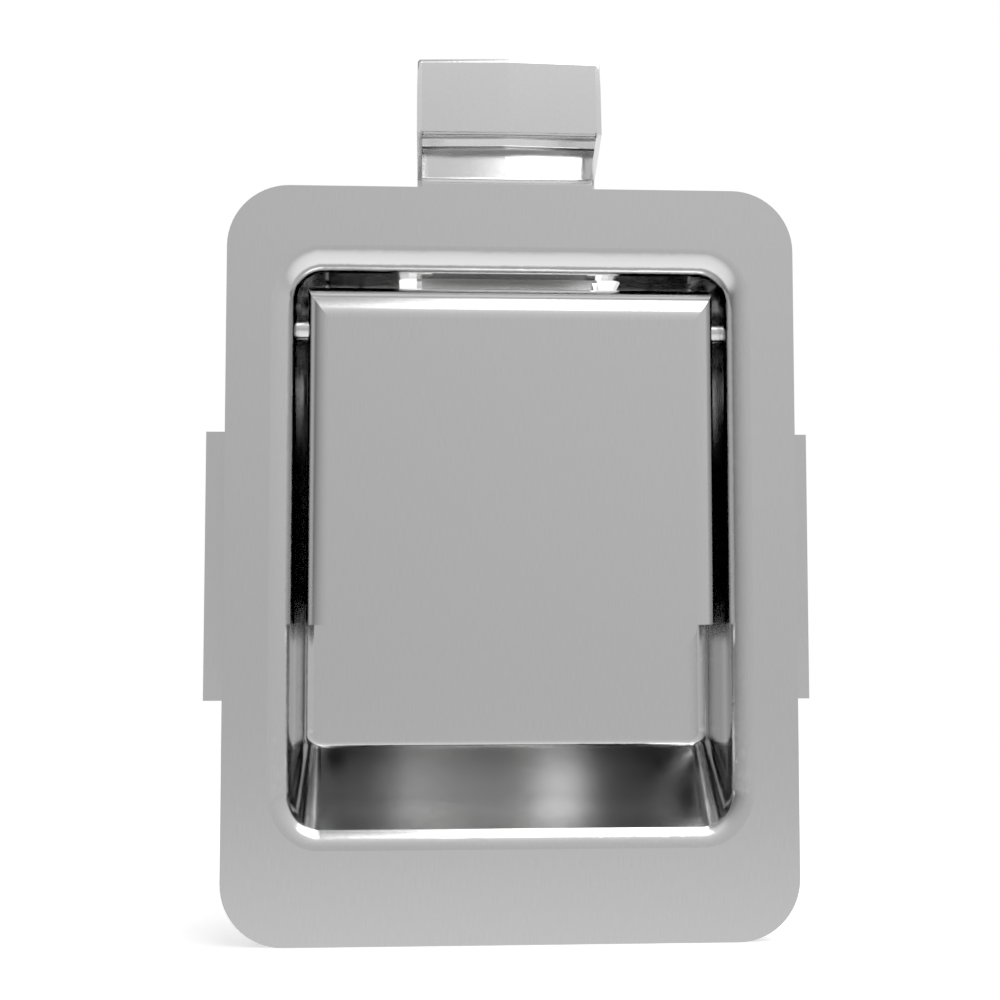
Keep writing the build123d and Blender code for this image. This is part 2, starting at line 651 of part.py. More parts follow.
def build_parts():
    """Every piece of the latch under its own name."""
    parts = {
        "pan": pan(),
        "gasket": gasket(),
        "paddle": paddle(),
        "paddle_buffers": buffers(),
        "bolt": bolt(),
        "bolt_spring": bolt_spring(),
        "pivot_pin": pivot_pin(),
        "pin_washers": pin_washers(),
        "pin_retaining_ring": retaining_ring(),
        "spacer_sleeve_middle": middle_sleeve(),
        "clamp_bracket": clamp_bracket(),
        "weld_studs": weld_studs(),
        "stud_washers": stud_washers(),
        "stud_nuts": stud_nuts(),
    }
    parts.update(right_and_left("paddle_spring", paddle_spring()))
    parts.update(right_and_left("spacer_sleeve", side_sleeve()))
    return parts


def main():
    """Write each piece to its own STEP file."""
    os.makedirs("parts", exist_ok=True)
    for name, shape in build_parts().items():
        export_step(shape, f"parts/{name}.step")


if __name__ == "__main__":
    main()
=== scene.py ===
"""Dresses the flush paddle latch: polished sheet, the open bolt, threads, rubber and the studio.

X runs to the right across the latch, Y into the panel and Z up, as in the solids. Lengths are in
metres; sizes that are usually given in millimetres are written with MM. A place in (Y, Z) is a
place in the latch's side view.
"""

from math import atan2, cos, pi, radians, remainder, sin, tan

import bmesh
import bpy
from bpy.props import FloatProperty, FloatVectorProperty, PointerProperty
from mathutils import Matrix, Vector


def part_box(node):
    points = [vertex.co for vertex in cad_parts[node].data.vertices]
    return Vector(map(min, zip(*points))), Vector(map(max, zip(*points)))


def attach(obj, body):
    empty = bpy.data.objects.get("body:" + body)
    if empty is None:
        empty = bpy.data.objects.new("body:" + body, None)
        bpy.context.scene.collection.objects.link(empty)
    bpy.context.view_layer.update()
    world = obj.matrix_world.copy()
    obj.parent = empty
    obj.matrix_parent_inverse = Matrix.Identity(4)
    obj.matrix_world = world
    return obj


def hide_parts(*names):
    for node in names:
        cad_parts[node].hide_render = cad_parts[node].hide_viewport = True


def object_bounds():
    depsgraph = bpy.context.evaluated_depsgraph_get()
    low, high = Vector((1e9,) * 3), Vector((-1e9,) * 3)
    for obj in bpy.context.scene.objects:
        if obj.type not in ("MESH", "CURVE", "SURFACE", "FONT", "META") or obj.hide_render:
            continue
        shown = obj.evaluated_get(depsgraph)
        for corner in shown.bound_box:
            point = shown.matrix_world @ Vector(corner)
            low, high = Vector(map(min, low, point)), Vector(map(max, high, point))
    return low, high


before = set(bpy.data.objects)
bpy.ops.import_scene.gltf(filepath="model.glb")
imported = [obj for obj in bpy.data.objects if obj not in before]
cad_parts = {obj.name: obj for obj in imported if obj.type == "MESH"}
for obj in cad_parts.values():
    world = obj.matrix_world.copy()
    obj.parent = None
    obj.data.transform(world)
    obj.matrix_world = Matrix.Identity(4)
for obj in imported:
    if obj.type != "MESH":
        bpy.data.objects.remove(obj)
SOLID_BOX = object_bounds()

bl_info = {
    "name": "Flush Paddle Latch Dresser",
    "version": (1, 0, 0),
    "blender": (4, 5, 0),
    "location": "View3D > Sidebar > Latch",
    "description": "Finishes, the folded bolt, threads and a studio for a flush paddle latch",
    "category": "Object",
}

MM = 0.001
SAME_PLACE = 0.01 * MM
WELD_DISTANCE = 0.001 * MM
SMOOTH_ANGLE = radians(30)

# ---- Bolt: the folds of its strip, the ridge down its head, and the cut of its cheeks ----
BOLT_FACE_FOOT = (6.5 * MM, 83.4 * MM)
BOLT_FACE_HEIGHT = 16.3 * MM
BOLT_FACE_LEAN = radians(8.6)
BOLT_CAM_LENGTH = 21.5 * MM
BOLT_CAM_ANGLE = radians(29)
BOLT_HEEL_HEIGHT = 2.65 * MM
BOLT_WEB_ANGLE = radians(48.2)
BOLT_ARM_Y = 16.3 * MM
BOLT_ARM_END = 48.2 * MM
BOLT_BEND = 1.2 * MM
BOLT_SHOULDER_BEND = 1.5 * MM
BOLT_RIDGE_TOP = 1.0 * MM
BOLT_RIDGE_FOOT = 0.2 * MM
BOLT_UNDERCUT = radians(24.5)
BOLT_NECK_FRONT = 19.3 * MM
BOLT_NECK_WIDTH = 3.5 * MM
BOLT_EAR_FRONT = 15.5 * MM
BOLT_EAR_WIDTH = 5.0 * MM
BOLT_EAR_LEVEL = 56.0 * MM
BOLT_EAR_RADIUS = 5.0 * MM
CAM_FACE_AREA = 100 * MM * MM
CAM_WINDOW_WIDEN = 1.07
FOLD_SLACK = 0.2 * MM

# ---- Studs: their thread, in shares of its pitch ----
THREAD_DEPTH = 0.6
THREAD_FLANK = 0.4
THREAD_CREST = 0.12
THREAD_ROOT = 0.08
THREAD_RUN_IN = 3
THREAD_STEPS = 24
STUD_SIDES = 32

# ---- Dish: painted shade, as (Y, share of the darkening) from its rim to its floor, which is left undarkened ----
# painted shade in the dish: how far the colour is darkened at each Y
DISH_PAINTED_SHADE = ((0, 0), (2 * MM, 0), (5 * MM, 1), (14.5 * MM, 1), (15.8 * MM, 0))
DISH_PAINTED_SHADE_END = 20 * MM

# ---- Studio: brightness of the room that metal sees, by height and by side of a direction ----
ROOM_BY_HEIGHT = (
    (-1.0, 1.9), (-0.92, 1.87), (-0.73, 1.76), (-0.6, 1.72), (-0.42, 1.57), (-0.31, 1.38),
    (-0.22, 1.24), (-0.16, 1.03), (-0.1, 0.98), (0.0, 1.0), (0.16, 1.04), (0.34, 1.12),
    (0.5, 1.22), (0.61, 1.42), (0.72, 1.65), (0.85, 1.55), (0.97, 1.2),
)
ROOM_BY_SIDE = (
    (-1.0, 0.32), (-0.92, 0.53), (-0.78, 0.7), (-0.57, 0.83), (-0.33, 0.93), (0.0, 1.0),
    (0.1, 1.03), (1.0, 1.08),
)
ROOM_SIDES_START = ((-1, 0), (-0.3, 0), (0.0, 1))
ROOM_BACK_START = ((-1, 0), (0.4, 0), (0.75, 1))
ROOM_LIGHT = 0.6
FLOOR_SIZE = 12
FLOOR_TONE = 0.8
FLOOR_GLOW = 0.3
FLOOR_FADE = ((0, 0), (0.12, 0), (0.3, 1))
FLOOR_FADE_END = 0.5
SOFTBOX_PLACE = (0.467, -0.2, 1.0)
SOFTBOX_TURN = radians(-4.2)
SOFTBOX_SIZE = (0.93, 1.6)
WHITE = (1, 1, 1, 1)


# ---- Helpers for shader nodes ----

def cleared_tree(owner):
    """The empty node tree of a new material or world."""
    owner.use_nodes = True
    owner.node_tree.nodes.clear()
    return owner.node_tree


def new_material(name):
    """An empty node material, with its tree and its Principled shader."""
    material = bpy.data.materials.new(name)
    tree = cleared_tree(material)
    output = tree.nodes.new("ShaderNodeOutputMaterial")
    shader = tree.nodes.new("ShaderNodeBsdfPrincipled")
    tree.links.new(shader.outputs["BSDF"], output.inputs["Surface"])
    return material, tree, shader


def new_group(name, inputs, outputs):
    """An empty shader group with float inputs (name, default) and float outputs (name)."""
    group = bpy.data.node_groups.new(name, "ShaderNodeTree")
    for label, value in inputs:
        socket = group.interface.new_socket(label, in_out="INPUT", socket_type="NodeSocketFloat")
        socket.default_value = value
    for label in outputs:
        group.interface.new_socket(label, in_out="OUTPUT", socket_type="NodeSocketFloat")
    start = group.nodes.new("NodeGroupInput")
    end = group.nodes.new("NodeGroupOutput")
    return group, start, end


def place_group(tree, group, **values):
    """A group placed in a material with its own values; an underscore stands for a space."""
    node = tree.nodes.new("ShaderNodeGroup")
    node.node_tree = group
    for label, value in values.items():
        node.inputs[label.replace("_", " ")].default_value = value
    return node


def feed(tree, slot, value):
    """Sets an input to a number, or links a socket to it."""
    if isinstance(value, (int, float)):
        slot.default_value = value
    else:
        tree.links.new(value, slot)


def noise(tree, vector, detail):
    """A noise texture on a vector socket."""
    node = tree.nodes.new("ShaderNodeTexNoise")
    node.inputs["Detail"].default_value = detail
    tree.links.new(vector, node.inputs["Vector"])
    return node.outputs["Fac"]


def math_node(tree, operation, first, second):
    """A Math node; each input is a socket or a number."""
    node = tree.nodes.new("ShaderNodeMath")
    node.operation = operation
    feed(tree, node.inputs[0], first)
    feed(tree, node.inputs[1], second)
    return node.outputs["Value"]


def vector_node(tree, operation, vector):
    """A Vector Math node on a vector socket."""
    node = tree.nodes.new("ShaderNodeVectorMath")
    node.operation = operation
    tree.links.new(vector, node.inputs[0])
    return node


def spread_noise(tree, value, low, high):
    """A noise value, which stays near its middle, spread between two limits."""
    node = tree.nodes.new("ShaderNodeMapRange")
    tree.links.new(value, node.inputs["Value"])
    node.inputs["From Min"].default_value = 0.3
    node.inputs["From Max"].default_value = 0.7
    feed(tree, node.inputs["To Min"], low)
    feed(tree, node.inputs["To Max"], high)
    return node.outputs["Result"]


def object_place(tree):
    """Object coordinates."""
    return tree.nodes.new("ShaderNodeTexCoord").outputs["Object"]


def stretched_place(tree, scale):
    """Object coordinates stretched by three numbers, in cells per metre."""
    stretch = tree.nodes.new("ShaderNodeMapping")
    stretch.inputs["Scale"].default_value = scale
    tree.links.new(object_place(tree), stretch.inputs["Vector"])
    return stretch.outputs["Vector"]


def split_axes(tree, vector):
    """The X, Y and Z of a vector socket."""
    node = tree.nodes.new("ShaderNodeSeparateXYZ")
    tree.links.new(vector, node.inputs["Vector"])
    return node.outputs


def colour_ramp(tree, value, stops):
    """Colours along a value from 0 to 1; stops are (value, colour)."""
    ramp = tree.nodes.new("ShaderNodeValToRGB")
    elements = ramp.color_ramp.elements
    for index, (place, colour) in enumerate(stops):
        element = elements[index] if index < 2 else elements.new(1)
        element.position = place
        element.color = colour
    tree.links.new(value, ramp.inputs["Fac"])
    return ramp.outputs["Color"]


def grey_ramp(tree, value, low, high, stops):
    """Grey levels along a value that runs from low to high; stops are (value, grey)."""
    spread = tree.nodes.new("ShaderNodeMapRange")
    spread.inputs["From Min"].default_value = low
    spread.inputs["From Max"].default_value = high
    tree.links.new(value, spread.inputs["Value"])
    shares = [((place - low) / (high - low), (grey, grey, grey, 1)) for place, grey in stops]
    return colour_ramp(tree, spread.outputs["Result"], shares)


def mixed_grey(tree, share, first, second):
    """A mix of two greys, each a socket or a number."""
    node = tree.nodes.new("ShaderNodeMix")
    tree.links.new(share, node.inputs["Factor"])
    feed(tree, node.inputs[2], first)
    feed(tree, node.inputs[3], second)
    return node.outputs[0]


def mixed_shader(tree, share, first, second):
    """A mix of two shaders."""
    node = tree.nodes.new("ShaderNodeMixShader")
    tree.links.new(share, node.inputs["Fac"])
    tree.links.new(first, node.inputs[1])
    tree.links.new(second, node.inputs[2])
    return node.outputs["Shader"]


def add_relief(tree, shader, height, strength, distance):
    """Bumps a shader's normal by a height."""
    relief = tree.nodes.new("ShaderNodeBump")
    relief.inputs["Strength"].default_value = strength
    relief.inputs["Distance"].default_value = distance
    tree.links.new(height, relief.inputs["Height"])
    tree.links.new(relief.outputs["Normal"], shader.inputs["Normal"])


# ---- Shared surface effects ----

def polish_group():
    """Soft cloudiness and very fine grain that mechanical polishing leaves on sheet steel."""
    group, start, end = new_group(
        "polish_marks",
        (("Gloss Low", 0.08), ("Gloss High", 0.14)),
        ("Roughness", "Tone", "Height"),
    )
    links = group.links
    cloud = noise(group, stretched_place(group, (28, 28, 28)), 3)
    grain = noise(group, stretched_place(group, (3200, 3200, 3200)), 1)
    strokes = noise(group, stretched_place(group, (2600, 2600, 60)), 2)
    gloss = spread_noise(group, cloud, start.outputs["Gloss Low"], start.outputs["Gloss High"])
    links.new(gloss, end.inputs["Roughness"])
    links.new(strokes, end.inputs["Tone"])
    links.new(math_node(group, "ADD", grain, strokes), end.inputs["Height"])
    return group


def rubber_group():
    """Skin of moulded or foamed rubber: small cells and a faint dusty bloom."""
    group, start, end = new_group(
        "rubber_skin",
        (("Cells", 1400.0), ("Bloom", 0.5)),
        ("Bloom Mask", "Height"),
    )
    links = group.links
    cells = group.nodes.new("ShaderNodeTexVoronoi")
    links.new(object_place(group), cells.inputs["Vector"])
    links.new(start.outputs["Cells"], cells.inputs["Scale"])
    links.new(cells.outputs["Distance"], end.inputs["Height"])
    cloud = noise(group, stretched_place(group, (90, 90, 90)), 4)
    links.new(math_node(group, "MULTIPLY", cloud, start.outputs["Bloom"]), end.inputs["Bloom Mask"])
    return group


# ---- Materials of the latch ----

def steel(name, group, tone, gloss, bump, painted_shade_tone_share=1.0):
    """Bare steel with a reflectance, limits of roughness, and painted shade that darkens the walls and
    ramp of the dish.
    """
    material, tree, shader = new_material(name)
    marks = place_group(tree, group, Gloss_Low=gloss[0], Gloss_High=gloss[1])
    tree.links.new(marks.outputs["Roughness"], shader.inputs["Roughness"])
    worn = [channel * 0.96 for channel in tone]
    metal = colour_ramp(tree, marks.outputs["Tone"], ((0.35, (*worn, 1)), (0.65, (*tone, 1))))
    # painted shade: the colour is darkened on the dish's walls and ramp, where shade falls
    if painted_shade_tone_share < 1:
        metal = dish_painted_shade(tree, metal, painted_shade_tone_share)
    tree.links.new(metal, shader.inputs["Base Color"])
    add_relief(tree, shader, marks.outputs["Height"], bump, 0.02 * MM)
    shader.inputs["Metallic"].default_value = 1.0
    return material


def dish_painted_shade(tree, metal, painted_shade_tone_share):
    """Darkens a colour along Y on the walls and ramp of the dish: painted shade for the recess."""
    stops = [(place, 1 - share * (1 - painted_shade_tone_share)) for place, share in DISH_PAINTED_SHADE]
    fade = grey_ramp(tree, split_axes(tree, object_place(tree))["Y"], 0, DISH_PAINTED_SHADE_END, stops)
    shaded = tree.nodes.new("ShaderNodeMix")
    shaded.data_type = "RGBA"
    shaded.blend_type = "MULTIPLY"
    shaded.inputs["Factor"].default_value = 1
    tree.links.new(metal, shaded.inputs[6])
    tree.links.new(fade, shaded.inputs[7])
    return shaded.outputs[2]


def rubber(name, group, tone, cells, depth):
    """Matt rubber with a fine skin, a little paler where it has bloomed."""
    material, tree, shader = new_material(name)
    skin = place_group(tree, group, Cells=cells, Bloom=0.6)
    bloomed = [min(1, channel + 0.03) for channel in tone]
    colour = colour_ramp(tree, skin.outputs["Bloom Mask"], ((0, (*tone, 1)), (1, (*bloomed, 1))))
    tree.links.new(colour, shader.inputs["Base Color"])
    add_relief(tree, shader, skin.outputs["Height"], 0.5, depth)
    shader.inputs["Roughness"].default_value = 0.8
    return material


def dress(material, *nodes):
    """Gives solids a material."""
    for node in nodes:
        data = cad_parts[node].data
        data.materials.clear()
        data.materials.append(material)


# ---- Helpers for modelling ----

def pick(piece, test):
    """Selects the vertices of a piece in edit mode whose place passes a test."""
    bpy.ops.mesh.select_mode(type="VERT")
    bpy.ops.mesh.select_all(action="DESELECT")
    mesh = bmesh.from_edit_mesh(piece.data)
    for vertex in mesh.verts:
        vertex.select = test(vertex.co)
    mesh.select_flush_mode()
    bmesh.update_edit_mesh(piece.data)


def pick_faces(piece, test):
    """Selects the faces of a piece in edit mode that pass a test."""
    bpy.ops.mesh.select_mode(type="FACE")
    bpy.ops.mesh.select_all(action="DESELECT")
    mesh = bmesh.from_edit_mesh(piece.data)
    for face in mesh.faces:
        face.select = test(face)
    bmesh.update_edit_mesh(piece.data)


def even_out_normals():
    """Turns the faces of the piece in edit mode one way: outwards, where its shell is closed."""
    bpy.ops.mesh.select_all(action="SELECT")
    bpy.ops.mesh.normals_make_consistent(inside=False)


def folded(name, corners, middle, half):
    """A strip across X folded through corners in (Y, Z); it is left in edit mode."""
    start = corners[0]
    bpy.ops.object.select_all(action="DESELECT")
    bpy.ops.mesh.primitive_plane_add(size=2 * half, location=(middle, start[0] + half, start[1]))
    piece = bpy.context.object
    piece.name = name
    bpy.ops.object.transform_apply(location=True, rotation=False, scale=False)
    bpy.ops.object.mode_set(mode="EDIT")
    pick(piece, lambda place: place.y > start[0] + half)
    bpy.ops.mesh.delete(type="VERT")
    bpy.ops.mesh.select_all(action="SELECT")
    for before, after in zip(corners, corners[1:]):
        step = (0, after[0] - before[0], after[1] - before[1])
        bpy.ops.mesh.extrude_region_move(TRANSFORM_OT_translate={"value": step})
    return piece


def heading(start, end):
    """The angle of a run from one place to another in (Y, Z)."""
    return atan2(end[1] - start[1], end[0] - start[0])


def round_fold(piece, before, corner, after, radius, ridge=0.0):
    """Bends the fold at a corner in (Y, Z) to a radius, also where a ridge sets it forward."""
    turn = abs(remainder(heading(corner, after) - heading(before, corner), 2 * pi))
    reach = ridge + FOLD_SLACK
    pick(piece, lambda place: abs(place.z - corner[1]) < SAME_PLACE and abs(place.y - corner[0]) < reach)
    bpy.ops.mesh.bevel(offset=radius * tan(turn / 2), segments=5, affect="EDGES")


def apply_modifier(piece, name, kind, **values):
    """Adds a modifier with values and applies it."""
    modifier = piece.modifiers.new(name, kind)
    for label, value in values.items():
        setattr(modifier, label, value)
    bpy.ops.object.modifier_apply(modifier=name)


def joined(first, *others):
    """Joins pieces to the first one."""
    bpy.ops.object.select_all(action="DESELECT")
    for piece in (first, *others):
        piece.select_set(True)
    bpy.context.view_layer.objects.active = first
    bpy.ops.object.join()
    return first


def finish_piece(piece, name, body, node):
    """Names and smooths a piece, and gives it the body and material of the solid it stands for."""
    piece.name = name
    bpy.ops.object.shade_smooth_by_angle(angle=SMOOTH_ANGLE, keep_sharp_edges=True)
    apply_modifier(piece, "flats", "WEIGHTED_NORMAL", weight=100, keep_sharp=True)
    piece.data.materials.clear()
    piece.data.materials.append(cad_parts[node].data.materials[0])
    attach(piece, body)
    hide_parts(node)


# ---- Bolt ----

def bolt_folds():
    """Corners of the bolt's strip in (Y, Z), from its face over the cam and the web to the arm."""
    foot = BOLT_FACE_FOOT
    crown = (foot[0] + BOLT_FACE_HEIGHT * tan(BOLT_FACE_LEAN), foot[1] + BOLT_FACE_HEIGHT)
    heel_y = crown[0] + BOLT_CAM_LENGTH * cos(BOLT_CAM_ANGLE)
    heel = (heel_y, crown[1] - BOLT_CAM_LENGTH * sin(BOLT_CAM_ANGLE))
    heel_foot = (heel_y, heel[1] - BOLT_HEEL_HEIGHT)
    web_drop = (heel_y - BOLT_ARM_Y) / tan(BOLT_WEB_ANGLE)
    shoulder = (BOLT_ARM_Y, heel_foot[1] - web_drop)
    return foot, crown, heel, heel_foot, shoulder, (BOLT_ARM_Y, BOLT_ARM_END)


def cheek_outline():
    """Outline of a cheek in (Y, Z): the head's folds, then its neck and the ear round the pin."""
    low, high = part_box("pivot_pin")
    pin = ((low[1] + high[1]) / 2, (low[2] + high[2]) / 2)
    foot = BOLT_FACE_FOOT
    neck = foot[1] - (BOLT_NECK_FRONT - foot[0]) * tan(BOLT_UNDERCUT)
    arm_back = (BOLT_EAR_FRONT + BOLT_EAR_WIDTH, BOLT_EAR_LEVEL)
    arm_front = (BOLT_EAR_FRONT, BOLT_EAR_LEVEL)
    start = heading(pin, arm_back) - radians(90)
    end = heading(pin, arm_front) - radians(270)
    ear = []
    steps = 12
    for step in range(steps + 1):
        angle = start + (end - start) * step / steps
        ear.append((pin[0] + BOLT_EAR_RADIUS * cos(angle), pin[1] + BOLT_EAR_RADIUS * sin(angle)))
    neck_back = (BOLT_NECK_FRONT + BOLT_NECK_WIDTH, neck)
    return (*bolt_folds()[:4], neck_back, arm_back, *ear, arm_front, (BOLT_NECK_FRONT, neck))


def cut_cam_window(strip, level, rim):
    """Opens the cam inside a rim; its two large faces lie above a level."""
    def on_cam(face):
        high = face.calc_center_median().z > level
        return high and face.calc_area() > CAM_FACE_AREA and abs(face.normal.z) > 0.8

    pick_faces(strip, on_cam)
    bpy.ops.mesh.inset(thickness=rim)
    bpy.ops.transform.resize(value=(CAM_WINDOW_WIDEN, 1, 1), center_override=(0, 0, 0))
    bpy.ops.mesh.delete(type="FACE")


def bolt_strip(half, sheet, cam_rim):
    """The folded strip: face with its ridge, cam with its window, heel, web and arm."""
    folds = bolt_folds()
    foot, heel = folds[0], folds[2]
    strip = folded("bolt_strip", folds, 0, half)
    bpy.ops.mesh.select_all(action="SELECT")
    bpy.ops.mesh.bisect(plane_co=(0, 0, 0), plane_no=(1, 0, 0))
    pick(strip, lambda place: abs(place.x) < SAME_PLACE and place.z > foot[1] + sheet)
    bpy.ops.transform.translate(value=(0, -BOLT_RIDGE_TOP, 0))
    pick(strip, lambda place: abs(place.x) < SAME_PLACE and abs(place.z - foot[1]) < SAME_PLACE)
    bpy.ops.transform.translate(value=(0, -BOLT_RIDGE_FOOT, 0))
    bends = (BOLT_BEND, BOLT_BEND, BOLT_BEND, BOLT_SHOULDER_BEND)
    for before, corner, after, bend in zip(folds, folds[1:], folds[2:], bends):
        round_fold(strip, before, corner, after, bend, BOLT_RIDGE_TOP)
    cut_cam_window(strip, heel[1] + sheet, cam_rim)
    even_out_normals()
    mesh = bmesh.from_edit_mesh(strip.data)
    front = min(mesh.faces, key=lambda face: face.calc_center_median().y)
    if front.normal.y > 0:
        bpy.ops.mesh.flip_normals()
    pick(strip, lambda place: abs(place.x) < SAME_PLACE)
    bpy.ops.mesh.mark_sharp()
    bpy.ops.object.mode_set(mode="OBJECT")
    apply_modifier(strip, "sheet", "SOLIDIFY", thickness=sheet, offset=-1, use_even_offset=True)
    apply_modifier(strip, "rim", "BEVEL", width=0.15 * sheet, segments=2, angle_limit=radians(60))
    bpy.ops.object.mode_set(mode="EDIT")
    pick(strip, lambda place: place.z < foot[1] + 0.4 * sheet and place.y < foot[0] + 2 * sheet)
    bpy.ops.mesh.bevel(offset=0.3 * sheet, segments=3, affect="EDGES")
    bpy.ops.object.mode_set(mode="OBJECT")
    return strip


def bolt_cheek(side, half, sheet):
    """One cheek of the bolt with its arm and ear, rounded along its outer edge."""
    outline = cheek_outline()
    folds = bolt_folds()
    heel_foot = folds[3]
    middle = side * (half - sheet / 2)
    cheek = folded("bolt_cheek", (*outline, outline[0]), middle, sheet / 2)
    bpy.ops.mesh.select_all(action="SELECT")
    bpy.ops.mesh.remove_doubles(threshold=WELD_DISTANCE)
    for before, corner, after in zip(folds, folds[1:4], folds[2:]):
        round_fold(cheek, before, corner, after, BOLT_BEND)
    for edge in (-1, 1):
        pick(cheek, lambda place: (place.x - middle) * edge > 0)
        bpy.ops.mesh.edge_face_add()
    even_out_normals()
    pick(cheek, lambda place: place.x * side > half - SAME_PLACE and place.z > heel_foot[1] - SAME_PLACE)
    bpy.ops.mesh.bevel(offset=0.75 * sheet, segments=4, affect="EDGES")
    bpy.ops.object.mode_set(mode="OBJECT")
    return cheek


# ---- Studs ----

def turned(place, length, near, far):
    """A turned length that starts at a place and runs into the panel, with a radius at each end."""
    bpy.ops.object.select_all(action="DESELECT")
    bpy.ops.mesh.primitive_cone_add(
        vertices=STUD_SIDES, radius1=near, radius2=far, depth=length,
        location=(place[0], place[1] + length / 2, place[2]), rotation=(radians(-90), 0, 0))
    piece = bpy.context.object
    bpy.ops.object.transform_apply(location=True, rotation=True, scale=True)
    return piece


def stud_core(place, length, radius, chamfer):
    """The core of a stud, chamfered at its free end."""
    core = turned(place, length, radius, radius)
    bpy.ops.object.mode_set(mode="EDIT")
    pick(core, lambda point: point.y > place[1] + length - SAME_PLACE)
    bpy.ops.mesh.bevel(offset=chamfer, segments=1, affect="EDGES")
    bpy.ops.object.mode_set(mode="OBJECT")
    return core


def stud_thread(place, minor, major, pitch, turns):
    """A helical thread: one tooth's outline, screwed along the stud."""
    bpy.ops.object.select_all(action="DESELECT")
    bpy.ops.mesh.primitive_plane_add(size=pitch, location=place)
    thread = bpy.context.object
    bpy.ops.object.mode_set(mode="EDIT")
    bpy.ops.mesh.select_all(action="SELECT")
    bpy.ops.mesh.merge(type="CENTER")
    bpy.ops.transform.translate(value=(minor, 0, 0))
    depth = major - minor
    for out, along in ((depth, THREAD_FLANK), (0, THREAD_CREST), (-depth, THREAD_FLANK), (0, THREAD_ROOT)):
        bpy.ops.mesh.extrude_region_move(TRANSFORM_OT_translate={"value": (out, along * pitch, 0)})
    bpy.ops.object.mode_set(mode="OBJECT")
    apply_modifier(
        thread, "helix", "SCREW", axis="Y", screw_offset=pitch, iterations=turns, steps=THREAD_STEPS,
        render_steps=THREAD_STEPS, use_merge_vertices=True, merge_threshold=WELD_DISTANCE)
    bpy.ops.object.transform_apply(location=True, rotation=False, scale=False)
    bpy.ops.object.mode_set(mode="EDIT")
    even_out_normals()
    bpy.ops.object.mode_set(mode="OBJECT")
    return thread


def moved_copy(piece, shift):
    """A copy of a piece with its own mesh, moved along X."""
    other = piece.copy()
    other.data = piece.data.copy()
    bpy.context.scene.collection.objects.link(other)
    bpy.ops.object.select_all(action="DESELECT")
    bpy.context.view_layer.objects.active = other
    other.select_set(True)
    other.location.x = shift
    bpy.ops.object.transform_apply(location=True, rotation=False, scale=False)
    return other


# ---- Studio ----

def floor_material():
    """A white floor that keeps the soft shadow; mirrors see the room's own pale floor instead."""
    material = bpy.data.materials.new("studio_floor")
    tree = cleared_tree(material)
    links = tree.links
    matt = tree.nodes.new("ShaderNodeBsdfDiffuse")
    matt.inputs["Color"].default_value = (FLOOR_TONE, FLOOR_TONE, FLOOR_TONE, 1)
    distance = vector_node(tree, "LENGTH", object_place(tree)).outputs["Value"]
    away = grey_ramp(tree, distance, 0, FLOOR_FADE_END, FLOOR_FADE)
    glow = tree.nodes.new("ShaderNodeEmission")
    glow.inputs["Color"].default_value = WHITE
    links.new(mixed_grey(tree, away, FLOOR_GLOW, 1.0), glow.inputs["Strength"])
    faded = tree.nodes.new("ShaderNodeBsdfDiffuse")
    links.new(math_node(tree, "SUBTRACT", 1.0, away), faded.inputs["Color"])
    shown = tree.nodes.new("ShaderNodeAddShader")
    links.new(faded.outputs["BSDF"], shown.inputs[0])
    links.new(glow.outputs["Emission"], shown.inputs[1])
    path = tree.nodes.new("ShaderNodeLightPath").outputs
    seen = math_node(tree, "MAXIMUM", path["Is Camera Ray"], path["Is Transmission Ray"])
    floor = mixed_shader(tree, seen, matt.outputs["BSDF"], shown.outputs["Shader"])
    clear = tree.nodes.new("ShaderNodeBsdfTransparent").outputs["BSDF"]
    floor = mixed_shader(tree, path["Is Glossy Ray"], floor, clear)
    output = tree.nodes.new("ShaderNodeOutputMaterial")
    links.new(floor, output.inputs["Surface"])
    return material


def room_brightness(tree, surround):
    """The room that metal sees: pale grey, dimmer on the left, paler below, white behind the latch."""
    direction = tree.nodes.new("ShaderNodeTexCoord").outputs["Generated"]
    axes = split_axes(tree, direction)
    height = grey_ramp(tree, axes["Z"], -1, 1, ROOM_BY_HEIGHT)
    level = vector_node(tree, "MULTIPLY", direction)
    level.inputs[1].default_value = (1, 1, 0)
    compass = vector_node(tree, "NORMALIZE", level.outputs["Vector"]).outputs["Vector"]
    side = grey_ramp(tree, split_axes(tree, compass)["X"], -1, 1, ROOM_BY_SIDE)
    side = mixed_grey(tree, grey_ramp(tree, axes["Z"], -1, 1, ROOM_SIDES_START), 1.0, side)
    room = math_node(tree, "MULTIPLY", math_node(tree, "MULTIPLY", height, side), surround)
    return mixed_grey(tree, grey_ramp(tree, axes["Y"], -1, 1, ROOM_BACK_START), room, 1.0)


def surround_world(surround):
    """White for the eye, the room for what metal shows, and a plain light for the rest."""
    world = bpy.data.worlds.new("studio_surround")
    tree = cleared_tree(world)
    path = tree.nodes.new("ShaderNodeLightPath").outputs
    seen = tree.nodes.new("ShaderNodeBackground")
    seen.inputs["Color"].default_value = WHITE
    room = mixed_grey(tree, path["Is Camera Ray"], room_brightness(tree, surround), 1.0)
    tree.links.new(room, seen.inputs["Strength"])
    light = tree.nodes.new("ShaderNodeBackground")
    light.inputs["Color"].default_value = WHITE
    light.inputs["Strength"].default_value = ROOM_LIGHT
    shows = math_node(tree, "MAXIMUM", path["Is Camera Ray"], path["Is Glossy Ray"])
    shows = math_node(tree, "MAXIMUM", shows, path["Is Transmission Ray"])
    mix = mixed_shader(tree, shows, light.outputs["Background"], seen.outputs["Background"])
    output = tree.nodes.new("ShaderNodeOutputWorld")
    tree.links.new(mix, output.inputs["Surface"])
    return world


def add_floor():
    """A floor under the latch."""
    bpy.ops.object.select_all(action="DESELECT")
    bpy.ops.mesh.primitive_plane_add(size=FLOOR_SIZE, location=(0, 0, SOLID_BOX[0][2]))
    floor = bpy.context.object
    floor.name = "studio_floor"
    floor.data.materials.append(floor_material())


